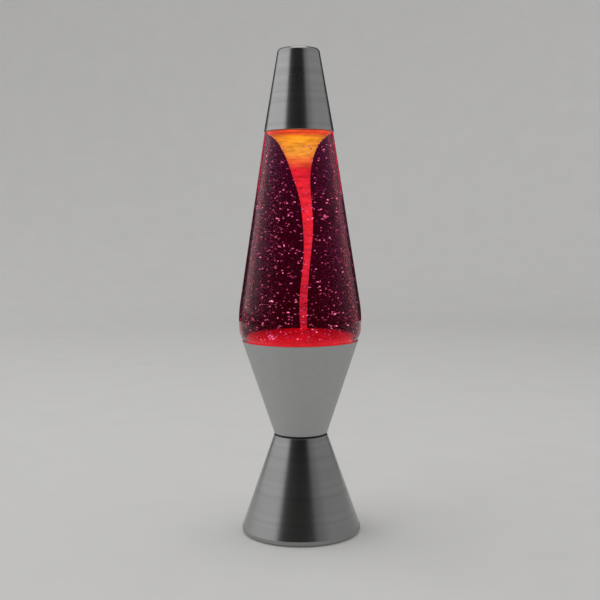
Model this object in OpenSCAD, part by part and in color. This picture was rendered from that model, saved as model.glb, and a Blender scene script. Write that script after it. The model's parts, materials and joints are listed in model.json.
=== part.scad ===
// Vortex lamp: a tapered glass bottle of liquid and glitter that stands in an hourglass metal base.
// A small motor in the base turns a magnet carrier, and a stir bar in the bottle follows it.
// Millimetres, +Z up, origin on the ground at the lamp's axis. The back, with the switch, is +Y.

/* [Overall] */
// Full height, from the ground to the top of the cap
total_h = 368; // [364:1:372]
// Gap between the ground and the metal edge of the base
foot_gap = 1.2; // [1:0.1:2]

/* [Lower cone] */
// Outer radius at the bottom edge
base_r = 45.7; // [44.5:0.1:46.5]
// Height of the upright lip at the bottom edge
base_lip_h = 2.8; // [2:0.1:4]
// Outer radius at the waist, of both cones
waist_r = 20.7; // [20:0.1:22]
// Height of the lower cone's top
lower_top_z = 75.5; // [74:0.5:77]
// Thickness of the spun metal
cone_wall = 1; // [0.8:0.1:1.2]

/* [Waist] */
// Height of the dark ring between the cones
waist_ring_h = 1.4; // [1:0.1:2]
// Radius of that ring
waist_ring_r = 19.5; // [19:0.1:20]
// Radius of the wire passage through the waist
waist_bore_r = 9; // [7:0.5:10]
// Radius of the circle that the waist screws stand on
waist_screw_circle_r = 16.2; // [16:0.1:16.4]

/* [Upper funnel] */
// Outer radius at the rim
rim_r = 44.5; // [44.3:0.1:44.8]
// Height of the rim
rim_z = 148.4; // [148:0.1:149]
// Wall of the funnel, measured level
funnel_wall = 0.75; // [0.6:0.05:0.8]

/* [Globe] */
// Height of the outside of the bottle's floor
globe_floor_z = 113; // [113:0.5:114]
// Radius of the bottle level with the funnel's rim
seat_r = 43.35; // [43:0.05:43.4]
// Largest radius
bulge_r = 46.8; // [46:0.1:47.5]
// Height of the largest radius
bulge_z = 164; // [162:0.5:166]
// Loss of radius for each millimetre of height above the bulge
taper = 0.1551; // [0.153:0.0005:0.156]
// Glass thickness
glass_wall = 2.5; // [2:0.1:3]
// Glass thickness of the floor
floor_wall = 4; // [3:0.5:5]
// Outer radius of the neck
neck_r = 12.4; // [12:0.1:12.8]
// Radius of the bore of the neck
mouth_r = 8.5; // [8:0.1:9]
// Height of the bottle's mouth
mouth_z = 353.5; // [352:0.5:355]

/* [Liquid] */
// Height at which the liquid meets the glass
liquid_z = 306; // [300:0.5:306]
// Depth of the vortex below that height
vortex_depth = 175; // [160:1:176]
// Radius of the vortex's long thin part
vortex_thread_r = 2; // [1.5:0.1:3]
// Number of glitter flakes
flakes = 60; // [20:10:120]

/* [Cap] */
// Height of the cap's bottom edge
cap_rim_z = 306.4; // [306:0.1:307]
// Outer radius at that edge
cap_rim_r = 26.4; // [26.4:0.05:26.6]
// Loss of radius for each millimetre of height
cap_taper = 0.1766; // [0.17:0.0005:0.18]
// Wall of the cap, measured level
cap_wall = 0.5; // [0.4:0.05:0.55]
// Radius of the round top edge
cap_round_r = 3; // [2:0.5:4]

/* [Back fittings] */
// Height of the power jack's centre on the cone
jack_z = 14; // [13:0.5:16]
// Radius of the jack's centre pin
jack_pin_r = 1; // [0.95:0.05:1.3]
// Radius of the jack's socket
jack_bore_r = 2.8; // [2.7:0.05:3]
// Height of the rocker switch's centre on the cone
switch_z = 36; // [34:0.5:40]
// Lean of the rocker in its on position, in degrees
rocker_lean = 10; // [8:1:11]

/* [Hidden] */
$fn = 96;
bite = 0.5;                                   // how far a cutter runs past the face it opens
weld = 0.02;                                  // gap between pieces that are fixed face to face

// Lower cone
lip_top_z = foot_gap + base_lip_h;
cone_foot_r = base_r - 0.2;
cone_slope = (cone_foot_r - waist_r) / (lower_top_z - lip_top_z);
cone_lean = atan(cone_slope);
cone_level_wall = cone_wall / cos(cone_lean);
// Bottom plate
plate_z = foot_gap + 0.4;
plate_t = 2;
plate_top_z = plate_z + plate_t;
plate_r = base_r - cone_wall - 0.4;
pad_r = 5;
pad_circle_r = 36;
pad_sink = 0.6;
tab_w = 10;
tab_t = 1.5;
tab_h = 11;
tab_angles = [-90, 30, 150];
tab_screw_circle_r = 37;
// Waist
funnel_z = lower_top_z + waist_ring_h;
funnel_slope = (rim_r - waist_r) / (rim_z - funnel_z);
funnel_floor_t = 0.8;
funnel_floor_z = funnel_z + funnel_floor_t;
waist_screw_r = 1.5;
waist_angles = [30, 150, 270];
// Chassis, lights and lens in the funnel
deck_z = 97;
deck_t = 2;
deck_top_z = deck_z + deck_t;
cup_top_z = 109;
cup_wall = 1.5;
cup_gap = 0.6;
ledge_z = 103.4;
ledge_r = 23.5;
leg_r = 2.6;
led_board_t = 1.6;
led_board_r = 26.2;
led_board_bore_r = 17.5;
led_count = 10;
led_circle_r = 22;
led_w = 5;
led_t = 1.6;
lens_t = 2;
lens_r = 30;
seat_h = globe_floor_z - cup_top_z - lens_t - 0.3;
wire_notch_y = 20;
// Motor
motor_r = 12.2;
motor_wall = 0.8;
motor_cap_z = 83.9;
motor_can_z = 85.7;
motor_screw_x = 8;
bush_r = 2.5;
shaft_r = 1;
shaft_play = 0.03;
shaft_top_z = 106;
armature_z = 87.5;
armature_h = 7;
armature_r = 8.6;
pole_w = 2.4;
// Magnet carrier
carrier_z = 101.5;
carrier_top_z = 106.5;
carrier_r = 15;
magnet_r = 5;
magnet_h = 4;
magnet_circle_r = 9;
// Driver board
board_z = 8;
board_t = 1.6;
board_w = 34;
board_d = 28;
board_y = -10;
board_screw_x = 14;
board_screw_y = 11;
// Globe
heel_r = 6;
heel_lean = 20;
heel_centre = [26.6, globe_floor_z + heel_r];
cone_start_u = 13.2;                          // height over which the bulge turns into the taper
cone_start_z = bulge_z + cone_start_u;
cone_start_r = bulge_r - taper * cone_start_u / 2;
shoulder_z = cap_rim_z + 1;
shoulder_r = cone_start_r - taper * (shoulder_z - cone_start_z);
neck_z = 332;
finish_h = 4.5;
finish_r = 13.2;
cavity_floor_z = globe_floor_z + floor_wall;
// Stir bar
stir_r = 3.6;
stir_ring_r = 4.4;
stir_len = 24;
stir_z = cavity_floor_z + 0.3 + stir_ring_r;
stir_room_r = stir_len / 2 + 1.2;
stir_magnet_r = 2.2;
stir_magnet_len = 16;
// Crown
crown_t = 0.3;
liner_t = 0.5;
crown_top_z = mouth_z + liner_t + crown_t;
// Jack and switch, in their own frames: outwards is local +Z, down the wall is local +Y
jack_body_r = 3.95;
jack_depth = 13;
jack_socket_depth = 10;
jack_pin_root_r = 0.8;
jack_pin_reach = 9.4;
switch_w = 8.8;
switch_h = 13.8;
switch_depth = 11;
switch_flange_t = 1.6;
switch_opening_w = 7.4;
switch_opening_h = 12;
pivot_drop = 1.5;
pivot_r = 0.8;
pivot_play = 0.06;
rocker_w = 7;
lead_r = 0.7;
lead_gap = 1.6;

// Radius of each cone's outer face at height z
function lower_r(z) = cone_foot_r - cone_slope * (z - lip_top_z);
function funnel_r(z) = waist_r + funnel_slope * (z - funnel_z);
function cap_r(z) = cap_rim_r - cap_taper * (z - cap_rim_z);

// Points of an arc about a centre, and of a cubic curve through two ends with two handles
function arc(centre, r, from, to, steps) =
  [for (i = [0:steps]) let (a = from + (to - from) * i / steps) centre + r * [cos(a), sin(a)]];
function cubic(a, b, c, d, steps) =
  [for (i = [0:steps]) let (t = i / steps, s = 1 - t)
    s * s * s * a + 3 * s * s * t * b + 3 * s * t * t * c + t * t * t * d];

// Outside of the glass from just above the rim to the start of the straight taper
function bulge_at(z) = z < bulge_z
  ? bulge_r - (bulge_r - seat_r) * pow((bulge_z - z) / (bulge_z - rim_z), 4)
  : bulge_r - taper * (z - bulge_z) * (z - bulge_z) / (2 * cone_start_u);
function bulge_points(inset) =
  [for (i = [0:28]) let (z = rim_z + (cone_start_z - rim_z) * i / 28) [bulge_at(z) - inset, z]];

// Radius of the vortex, d below the liquid's edge: a wide mouth that narrows to a thread
function vortex_r(d) = vortex_thread_r + 8.35 * exp((12 - d) / 22) + 5.6 * exp(-d / 3.2);

// A tube of round section along points, and a smooth line through a few points
function unit(v) = v / norm(v);
function along(line, i) = unit(line[min(i + 1, len(line) - 1)] - line[max(i - 1, 0)]);
function hoop(centre, way, r, sides) = let (u = unit(cross(way, [1, 0, 0])), w = cross(way, u))
  [for (k = [0:sides - 1]) centre + r * (u * cos(360 * k / sides) + w * sin(360 * k / sides))];
function spline(a, b, c, d, t) = 0.5 * (2 * b + (c - a) * t + (2 * a - 5 * b + 4 * c - d) * t * t
  + (3 * b - a - 3 * c + d) * t * t * t);
function flowing(points, steps) = let (last = len(points) - 1) concat(
  [for (i = [0:last - 1], s = [0:steps - 1])
    spline(points[max(i - 1, 0)], points[i], points[i + 1], points[min(i + 2, last)], s / steps)],
  [points[last]]);

module rings(hoops) {
  n = len(hoops[0]);
  last = len(hoops) - 1;
  polyhedron(
    points = [for (h = hoops, p = h) p],
    faces = concat(
      [[for (k = [n - 1:-1:0]) k]],
      [for (i = [0:last - 1], k = [0:n - 1]) let (m = (k + 1) % n)
        [i * n + k, i * n + m, (i + 1) * n + m, (i + 1) * n + k]],
      [[for (k = [0:n - 1]) last * n + k]]));
}

module lead(points) {
  line = flowing(points, 4);
  rings([for (i = [0:len(line) - 1]) hoop(line[i], along(line, i), lead_r, 8)]);
}

module lead_pair(points) {
  color("firebrick") lead([for (p = points) p + [lead_gap / 2, 0, 0]]);
  color("dimgray") lead([for (p = points) p - [lead_gap / 2, 0, 0]]);
}

module tube(r, bore, z, h) {
  translate([0, 0, z]) difference() {
    cylinder(r = r, h = h);
    translate([0, 0, -bite]) cylinder(r = bore, h = h + 2 * bite);
  }
}

module screws(places, shank_r, head_r, head_h, shank_from, head_at, head_up) {
  for (p = places) translate([p[0], p[1], 0]) {
    difference() {
      translate([0, 0, head_up ? head_at : head_at - head_h]) cylinder(r = head_r, h = head_h);
      for (turn = [0, 90])
        translate([0, 0, head_up ? head_at + head_h : head_at - head_h]) rotate(turn)
          cube([head_r * 1.2, head_r * 0.28, head_h], center = true);
    }
    translate([0, 0, min(shank_from, head_at)]) cylinder(r = shank_r, h = abs(head_at - shank_from));
  }
}

module at_back(z) {
  translate([0, lower_r(z), z]) rotate([cone_lean - 90, 0, 0]) children();
}

function ring_places(r, angles) = [for (a = angles) r * [cos(a), sin(a)]];

// ---- Base ----

module lower_cone() {
  color("slategray") difference() {
    rotate_extrude() polygon(concat(
      [[base_r - cone_wall, foot_gap], [base_r, foot_gap], [base_r, lip_top_z - 0.2],
       [cone_foot_r, lip_top_z]],
      arc([waist_r - 0.8, lower_top_z - 0.8], 0.8, 0, 90, 6),
      [[waist_bore_r, lower_top_z], [waist_bore_r, lower_top_z - cone_wall],
       [lower_r(lower_top_z - cone_wall) - cone_level_wall, lower_top_z - cone_wall],
       [cone_foot_r - cone_level_wall, lip_top_z]]));
    for (p = ring_places(waist_screw_circle_r, waist_angles))
      translate([p[0], p[1], lower_top_z - 3]) cylinder(r = waist_screw_r + 0.15, h = 6);
    at_back(jack_z) translate([0, 0, -5]) cylinder(r = jack_body_r + 0.1, h = 8);
    at_back(switch_z) translate([0, 0, -1])
      cube([switch_w + 0.2, switch_h + 0.2, 8], center = true);
  }
}

module base_tabs() {
  color("silver") for (a = tab_angles) rotate(a) difference() {
    intersection() {
      rotate_extrude() polygon([
        [32, plate_top_z + weld], [plate_r - 0.3, plate_top_z + weld],
        [lower_r(plate_top_z + tab_h) - cone_level_wall - weld, plate_top_z + tab_h],
        [lower_r(plate_top_z + tab_h) - cone_level_wall - weld - 1.2, plate_top_z + tab_h],
        [lower_r(plate_top_z + tab_t) - cone_level_wall - weld - 1.2, plate_top_z + tab_t],
        [32, plate_top_z + tab_t]]);
      translate([20, -tab_w / 2, 0]) cube([30, tab_w, 30]);
    }
    translate([tab_screw_circle_r, 0, 0]) cylinder(r = 1.25, h = 10);
  }
}

module bottom_plate() {
  color([0.12, 0.12, 0.13]) difference() {
    union() {
      translate([0, 0, plate_z]) cylinder(r = plate_r, h = plate_t);
      for (x = [-board_screw_x, board_screw_x], y = [-board_screw_y, board_screw_y])
        translate([x, board_y + y, plate_z]) cylinder(r = 2.6, h = board_z - plate_z - weld);
    }
    for (a = [45:90:315])
      rotate(a) translate([pad_circle_r, 0, plate_z - 1]) cylinder(r = pad_r + 0.1, h = 1 + pad_sink);
    for (a = tab_angles) rotate(a) translate([tab_screw_circle_r, 0, 0]) {
      cylinder(r = 1.4, h = 8);
      cylinder(r = 3.1, h = plate_z + 1);
    }
    for (a = [15:30:345]) rotate(a) translate([30, 0, 0]) cylinder(r = 1.5, h = 8);
    for (x = [-board_screw_x, board_screw_x], y = [-board_screw_y, board_screw_y])
      translate([x, board_y + y, plate_top_z]) cylinder(r = 1, h = 10);
  }
}

module bottom_screws() {
  color("silver")
    screws(ring_places(tab_screw_circle_r, tab_angles), 1.25, 2.9, 0.9, plate_top_z + 4, plate_z + 1, false);
}

module foot_pads() {
  color([0.2, 0.2, 0.2]) for (a = [45:90:315])
    rotate(a) translate([pad_circle_r, 0, 0]) rotate_extrude()
      polygon(concat([[0, 0], [pad_r - 0.5, 0]],
        arc([pad_r - 0.5, 0.5], 0.5, -60, 0, 3),
        [[pad_r, plate_z + pad_sink], [0, plate_z + pad_sink]]));
}

module waist_ring() {
  color([0.08, 0.08, 0.08]) difference() {
    tube(waist_ring_r, waist_bore_r, lower_top_z, waist_ring_h);
    for (p = ring_places(waist_screw_circle_r, waist_angles))
      translate([p[0], p[1], lower_top_z - 1]) cylinder(r = waist_screw_r + 0.15, h = 6);
  }
}

module waist_screws() {
  color("silver") screws(ring_places(waist_screw_circle_r, waist_angles), waist_screw_r, 2.7, 2,
    funnel_floor_z + 9, lower_top_z - cone_wall, false);
}

module upper_funnel() {
  color("silver") difference() {
    rotate_extrude() polygon(concat(
      [[waist_bore_r, funnel_z], [waist_r - 0.5, funnel_z]],
      arc([waist_r - 0.5, funnel_z + 0.5], 0.5, -60, 0, 4),
      [[rim_r - 0.1, rim_z - 0.3]],
      arc([rim_r - 0.35, rim_z - 0.3], 0.3, 20, 90, 4),
      [[rim_r - funnel_wall + 0.1, rim_z], [rim_r - funnel_wall, rim_z - 0.2],
       [funnel_r(funnel_floor_z) - funnel_wall, funnel_floor_z], [waist_bore_r, funnel_floor_z]]));
    for (p = ring_places(waist_screw_circle_r, waist_angles))
      translate([p[0], p[1], lower_top_z]) cylinder(r = waist_screw_r + 0.15, h = 6);
  }
}

// ---- Chassis, motor and lights ----

module inner_chassis() {
  cup_foot_r = funnel_r(deck_z) - funnel_wall - cup_gap;
  cup_top_r = funnel_r(cup_top_z) - funnel_wall - cup_gap;
  color("whitesmoke") difference() {
    union() {
      rotate_extrude() polygon([
        [0, deck_z], [cup_foot_r, deck_z], [cup_top_r, cup_top_z], [cup_top_r - cup_wall, cup_top_z],
        [funnel_r(ledge_z) - funnel_wall - cup_gap - cup_wall, ledge_z], [ledge_r, ledge_z],
        [ledge_r, deck_top_z], [0, deck_top_z]]);
      for (p = ring_places(waist_screw_circle_r, waist_angles))
        translate([p[0], p[1], funnel_floor_z + weld]) cylinder(r = leg_r, h = deck_z - funnel_floor_z);
    }
    for (p = ring_places(waist_screw_circle_r, waist_angles))
      translate([p[0], p[1], funnel_floor_z - 1]) cylinder(r = waist_screw_r, h = 11);
    translate([0, 0, deck_z - 1]) cylinder(r = 3.6, h = 4);
    for (x = [-motor_screw_x, motor_screw_x])
      translate([x, 0, deck_z - 1]) cylinder(r = 1.1, h = 4);
    translate([0, wire_notch_y, deck_z - 1]) cylinder(r = 2.6, h = 4);
  }
}

module motor_can() {
  color("lightgray") difference() {
    translate([0, 0, motor_can_z]) cylinder(r = motor_r, h = deck_z - motor_can_z);
    translate([0, 0, motor_can_z - bite])
      cylinder(r = motor_r - motor_wall, h = deck_z - motor_can_z - motor_wall + bite);
    translate([0, 0, deck_z - 2]) cylinder(r = bush_r, h = 4);
    for (x = [-motor_screw_x, motor_screw_x]) translate([x, 0, deck_z - 2]) cylinder(r = 1, h = 4);
  }
}

module motor_magnet_ring() {
  color([0.25, 0.24, 0.24]) tube(motor_r - motor_wall, 9.2, armature_z - 0.5, armature_h + 1);
}

module motor_end_cap() {
  color("white") difference() {
    union() {
      translate([0, 0, motor_cap_z]) cylinder(r = motor_r, h = motor_can_z - motor_cap_z);
      translate([0, 0, motor_can_z]) cylinder(r = motor_r - motor_wall, h = 0.8);
    }
    translate([0, 0, motor_cap_z - 1]) cylinder(r = bush_r, h = 6);
    for (x = [-7, 7]) translate([x, 0, motor_cap_z]) cube([0.6, 3, 12], center = true);
  }
}

module motor_bushes() {
  color("goldenrod") {
    tube(bush_r, shaft_r + shaft_play, motor_cap_z, 3);
    tube(bush_r, shaft_r + shaft_play, deck_z - 1.6, 2.6);
  }
}

module motor_terminals() {
  color("gold") for (x = [-7, 7]) translate([x, 0, motor_cap_z - 1.2]) cube([0.6, 3, 6], center = true);
}

module motor_screws() {
  color("silver")
    screws([[-motor_screw_x, 0], [motor_screw_x, 0]], 1, 1.9, 1.2, deck_z - 1.4, deck_top_z, true);
}

module led_board() {
  color("white") difference() {
    tube(led_board_r, led_board_bore_r, ledge_z, led_board_t);
    translate([0, wire_notch_y - 3, ledge_z - bite]) cylinder(r = 1.6, h = 4);
  }
}

module leds() {
  color("lightyellow") for (i = [0:led_count - 1])
    rotate(360 * (i + 0.5) / led_count) translate([led_circle_r, 0, ledge_z + led_board_t + led_t / 2])
      cube([led_w, led_w, led_t], center = true);
}

module lens_plate() {
  color([1, 0.85, 0.8, 0.6]) rotate_extrude() polygon([
    [0, cup_top_z], [lens_r, cup_top_z], [lens_r, cup_top_z + lens_t - 0.4],
    [lens_r - 0.4, cup_top_z + lens_t], [0, cup_top_z + lens_t]]);
}

module seat_ring() {
  color("dimgray") tube(27, 23, cup_top_z + lens_t, seat_h);
}

// ---- Rotor ----

module motor_shaft() {
  color("silver") translate([0, 0, motor_cap_z + 0.4])
    cylinder(r = shaft_r, h = shaft_top_z - motor_cap_z - 0.4);
}

module armature_profile() {
  circle(r = 3);
  for (a = [0, 120, 240]) rotate(a) {
    translate([0, -pole_w / 2]) square([armature_r - 1, pole_w]);
    intersection() {
      difference() {
        circle(r = armature_r);
        circle(r = armature_r - 1.2);
      }
      polygon([[0, 0], [12, -9], [12, 9]]);
    }
  }
}

module motor_armature() {
  color([0.4, 0.4, 0.42]) translate([0, 0, armature_z]) linear_extrude(armature_h) difference() {
    armature_profile();
    circle(r = shaft_r);
  }
}

module motor_windings() {
  color([0.72, 0.35, 0.15]) for (a = [0, 120, 240]) rotate(a) difference() {
    translate([3.2, -pole_w / 2 - 1.1, armature_z - 0.4])
      cube([armature_r - 5.1, pole_w + 2.2, armature_h + 0.8]);
    translate([2, -pole_w / 2, armature_z]) cube([armature_r, pole_w, armature_h]);
  }
}

module magnet_carrier() {
  color("white") difference() {
    union() {
      translate([0, 0, carrier_z]) cylinder(r = carrier_r, h = carrier_top_z - carrier_z);
      translate([0, 0, deck_top_z + 1]) cylinder(r = 4, h = carrier_z - deck_top_z - 1);
    }
    translate([0, 0, deck_top_z]) cylinder(r = shaft_r, h = shaft_top_z - deck_top_z);
    for (x = [-magnet_circle_r, magnet_circle_r])
      translate([x, 0, carrier_top_z - magnet_h]) cylinder(r = magnet_r, h = magnet_h + 1);
  }
}

module drive_magnets() {
  color([0.7, 0.7, 0.72]) for (x = [-magnet_circle_r, magnet_circle_r])
    translate([x, 0, carrier_top_z - magnet_h]) cylinder(r = magnet_r, h = magnet_h);
}

// ---- Board, jack and switch ----

module driver_board() {
  color("darkgreen") difference() {
    translate([-board_w / 2, board_y - board_d / 2, board_z]) cube([board_w, board_d, board_t]);
    for (x = [-board_screw_x, board_screw_x], y = [-board_screw_y, board_screw_y])
      translate([x, board_y + y, board_z - 1]) cylinder(r = 1.1, h = 4);
  }
}

module board_screws() {
  color("silver") screws(
    [for (x = [-board_screw_x, board_screw_x], y = [-board_screw_y, board_screw_y]) [x, board_y + y]],
    1, 1.9, 1.2, plate_top_z + 0.5, board_z + board_t, true);
}

module board_capacitor() {
  color("midnightblue") translate([-8, board_y - 6, board_z + board_t]) rotate_extrude()
    polygon([[0, 0], [4, 0], [4, 0.8], [3.7, 1.1], [4, 1.4], [4, 8.6], [3.6, 9], [0, 9]]);
}

module board_coil() {
  color([0.25, 0.22, 0.2]) translate([3, board_y - 6, board_z + board_t]) rotate_extrude()
    polygon([[0, 0], [4.5, 0], [4.5, 1], [3.6, 1.4], [3.6, 4], [4.5, 4.4], [4.5, 5.4], [0, 5.4]]);
}

module board_chip() {
  color([0.1, 0.1, 0.1]) translate([9, board_y - 4, board_z + board_t]) cube([5, 4, 1.5]);
}

module wire_sockets() {
  color("ivory") for (x = [-11, -4, 4, 11]) translate([x - 2.8, board_y + 2, board_z + board_t])
    difference() {
      cube([5.6, 5.6, 5]);
      translate([0.7, 0.9, 1]) cube([4.2, 5.6, 3.2]);
    }
}

module power_jack() {
  color([0.1, 0.1, 0.1]) at_back(jack_z) difference() {
    union() {
      translate([0, 0, -jack_depth]) cylinder(r = jack_body_r, h = jack_depth + 0.5);
      rotate_extrude() polygon([[0, 0], [5.5, 0], [5.5, 1], [5, 1.5], [0, 1.5]]);
    }
    translate([0, 0, -jack_socket_depth]) cylinder(r = jack_bore_r, h = jack_socket_depth + 3);
    translate([0, 0, -jack_depth - bite]) cylinder(r = jack_pin_root_r, h = jack_depth);
  }
}

module jack_pin() {
  color("silver") at_back(jack_z) {
    translate([0, 0, -jack_depth - 1.5])
      cylinder(r = jack_pin_root_r, h = jack_depth + 1.5 - jack_socket_depth);
    translate([0, 0, -jack_socket_depth]) cylinder(r = jack_pin_r, h = jack_pin_reach);
    translate([0, 0, jack_pin_reach - jack_socket_depth]) cylinder(r1 = jack_pin_r, r2 = 0.7, h = 0.4);
  }
}

module jack_nut() {
  color("silver") at_back(jack_z) difference() {
    translate([0, 0, -3.7]) cylinder(r = 5.6, h = 2, $fn = 6);
    translate([0, 0, -5]) cylinder(r = jack_body_r, h = 5);
  }
}

module switch_housing() {
  color([0.08, 0.08, 0.08]) at_back(switch_z) difference() {
    union() {
      linear_extrude(switch_flange_t) square([10.6, 15.4], center = true);
      translate([-switch_w / 2, -switch_h / 2, -switch_depth]) cube([switch_w, switch_h, switch_depth + 0.5]);
    }
    translate([-switch_opening_w / 2, -switch_opening_h / 2, -pivot_drop - 5.6])
      cube([switch_opening_w, switch_opening_h, 20]);
    translate([-switch_w, 0, -pivot_drop]) rotate([0, 90, 0])
      cylinder(r = pivot_r + pivot_play, h = 2 * switch_w);
    for (y = [-3.5, 3.5]) translate([0, y, -switch_depth]) cube([4.6, 0.8, 6], center = true);
  }
}

module switch_terminals() {
  color("gold") at_back(switch_z) for (y = [-3.5, 3.5])
    translate([0, y, -switch_depth - 2]) cube([4.6, 0.8, 9], center = true);
}

module rocker() {
  color([0.6, 0.05, 0.05]) at_back(switch_z) translate([0, 0, -pivot_drop]) rotate([rocker_lean, 0, 0]) {
    translate([-rocker_w / 2, 0, 0]) rotate([90, 0, 90]) linear_extrude(rocker_w) polygon(concat(
      arc([0, 0], 4.6, 180, 360, 24),
      [[4.7, 2.6], [4.9, 4.4]],
      cubic([4.9, 4.4], [2, 3.3], [-2, 3.3], [-4.9, 4.4], 12),
      [[-4.7, 2.6]]));
    translate([-rocker_w / 2 - 0.7, 0, 0]) rotate([0, 90, 0]) cylinder(r = pivot_r, h = rocker_w + 1.4);
  }
}

// ---- Leads inside the base ----

socket_mouth_y = board_y + 8;
socket_wire_z = board_z + board_t + 2.6;

module jack_leads() {
  lead_pair([[-11, socket_mouth_y - 3, socket_wire_z], [-11, socket_mouth_y + 4, socket_wire_z],
    [-8, 10, 11.5], [-3, 20, 8], [0, 25, 7.2], [0, 28.2, 8.2]]);
}

module switch_leads() {
  lead_pair([[-4, socket_mouth_y - 3, socket_wire_z], [-4, socket_mouth_y + 4, socket_wire_z],
    [-3, 8, 16], [-1, 11, 22], [0, 15, 27], [0, 17.6, 28.6]]);
}

module motor_leads() {
  lead_pair([[4, socket_mouth_y - 3, socket_wire_z], [4, socket_mouth_y + 3, socket_wire_z],
    [3.5, 4.5, 18], [2, 5.5, 35], [0, 5, 55], [0, 4, 70], [0, 3.5, 77], [0, 2, 80.5]]);
}

module led_leads() {
  lead_pair([[11, socket_mouth_y - 3, socket_wire_z], [11, socket_mouth_y + 3, socket_wire_z],
    [9, 5.5, 17], [5, 7.5, 35], [1, 7.6, 55], [0, 7.5, 72], [0, 8, 79], [0, 14.5, 85],
    [0, wire_notch_y - 1, 92], [0, wire_notch_y, 98], [0, wire_notch_y + 0.3, ledge_z - weld]]);
}

// ---- Globe ----

function globe_outside() = concat(
  arc(heel_centre, heel_r, -90, -heel_lean, 8),
  bulge_points(0),
  cubic([shoulder_r, shoulder_z], [shoulder_r - 1.9, shoulder_z + 8], [neck_r, 318], [neck_r, neck_z], 14),
  [[neck_r, mouth_z - finish_h - 0.8], [finish_r, mouth_z - finish_h], [finish_r, mouth_z - 0.8]],
  arc([finish_r - 1, mouth_z - 1], 1, 15, 90, 4));

function globe_inside(inset) = concat(
  [[0, cavity_floor_z + inset]],
  arc([heel_centre[0], cavity_floor_z + 4], 4 - inset, -90, -heel_lean, 8),
  bulge_points(glass_wall + inset));

module glass_globe() {
  color([0.9, 0.3, 0.3, 0.35]) difference() {
    rotate_extrude() polygon(concat([[0, globe_floor_z]], globe_outside(), [[0, mouth_z]]));
    rotate_extrude() polygon(concat(
      globe_inside(0),
      cubic([shoulder_r - glass_wall, shoulder_z], [shoulder_r - glass_wall - 1.9, shoulder_z + 8],
        [mouth_r, 316], [mouth_r, neck_z + 2], 14),
      [[mouth_r, mouth_z + 1], [0, mouth_z + 1]]));
  }
}

module vortex_space() {
  steps = 30;
  rotate_extrude() polygon(concat(
    [[0, liquid_z - vortex_depth], [vortex_thread_r / 2, liquid_z - vortex_depth]],
    [for (i = [steps:-1:0]) let (d = (vortex_depth - 1) * pow(i / steps, 1.7)) [vortex_r(d), liquid_z - d]],
    [[vortex_r(0), liquid_z + 1], [0, liquid_z + 1]]));
}

module liquid() {
  top_r = cone_start_r - taper * (liquid_z - cone_start_z) - glass_wall - weld;
  color([0.35, 0.02, 0.12, 0.8]) difference() {
    rotate_extrude() polygon(concat(globe_inside(weld), [[top_r, liquid_z], [0, liquid_z]]));
    vortex_space();
    translate([0, 0, cavity_floor_z - 1]) cylinder(r = stir_room_r, h = 2 * stir_ring_r + 2.4);
  }
}

module glitter() {
  flake_top = 285;
  flake_foot = 132;
  color("hotpink") for (i = [0:flakes - 1]) {
    z = flake_foot + (flake_top - flake_foot) * (i + 0.5) / flakes;
    r = (0.45 + 0.4 * ((i * 7) % 10) / 10) * (cone_start_r - glass_wall - taper * (z - bulge_z));
    rotate(137.5 * i) translate([r, 0, z]) rotate([20 * (i % 9), 35, 0]) cylinder(r = 0.7, h = 0.15, $fn = 6);
  }
}

module crown_cap() {
  flutes = 21;
  points = 4 * flutes;
  skirt_z = mouth_z - finish_h + 0.3;
  color("gold") {
    difference() {
      translate([0, 0, skirt_z]) linear_extrude(mouth_z - skirt_z)
        polygon([for (i = [0:points - 1]) let (a = 360 * i / points)
          (14.25 + 0.3 * cos(flutes * a)) * [cos(a), sin(a)]]);
      translate([0, 0, skirt_z - bite]) cylinder(r = 13.6, h = finish_h + 2);
    }
    rotate_extrude() polygon(concat(
      [[0, crown_top_z - crown_t], [12.5, crown_top_z - crown_t], [13.4, mouth_z - 0.3], [13.85, mouth_z - 0.3]],
      arc([12.4, crown_top_z - 1.4], 1.4, 15, 90, 5),
      [[0, crown_top_z]]));
  }
}

module crown_liner() {
  color("ivory") translate([0, 0, mouth_z]) cylinder(r = 12.3, h = liner_t);
}

module stir_bar() {
  half = stir_len / 2;
  color("white") translate([0, 0, stir_z]) rotate([0, 90, 0]) difference() {
    rotate_extrude() polygon(concat(
      [[0, -half]], arc([0, stir_r - half], stir_r, -85, 0, 8),
      [[stir_r, -1.6], [stir_ring_r, -1.0], [stir_ring_r, 1.0], [stir_r, 1.6]],
      arc([0, half - stir_r], stir_r, 0, 85, 8), [[0, half]]));
    translate([0, 0, -stir_magnet_len / 2]) cylinder(r = stir_magnet_r, h = stir_magnet_len);
  }
}

module stir_magnet() {
  color("gray") translate([-stir_magnet_len / 2, 0, stir_z]) rotate([0, 90, 0])
    cylinder(r = stir_magnet_r, h = stir_magnet_len);
}

// ---- Cap ----

module cap() {
  lean = atan(cap_taper);
  round_z = total_h - cap_round_r;
  round_x = cap_r(round_z + cap_round_r * sin(lean)) - cap_round_r * cos(lean);
  inner_round_r = cap_round_r - cap_wall;
  color("slategray") rotate_extrude() polygon(concat(
    [[cap_rim_r - cap_wall, cap_rim_z + 0.2], [cap_rim_r - cap_wall + 0.2, cap_rim_z],
     [cap_rim_r - 0.15, cap_rim_z], [cap_rim_r, cap_rim_z + 0.15]],
    arc([round_x, round_z], cap_round_r, lean, 90, 8),
    [[0, total_h], [0, total_h - cap_wall]],
    arc([round_x, round_z], inner_round_r, 90, lean, 8)));
}

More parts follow.
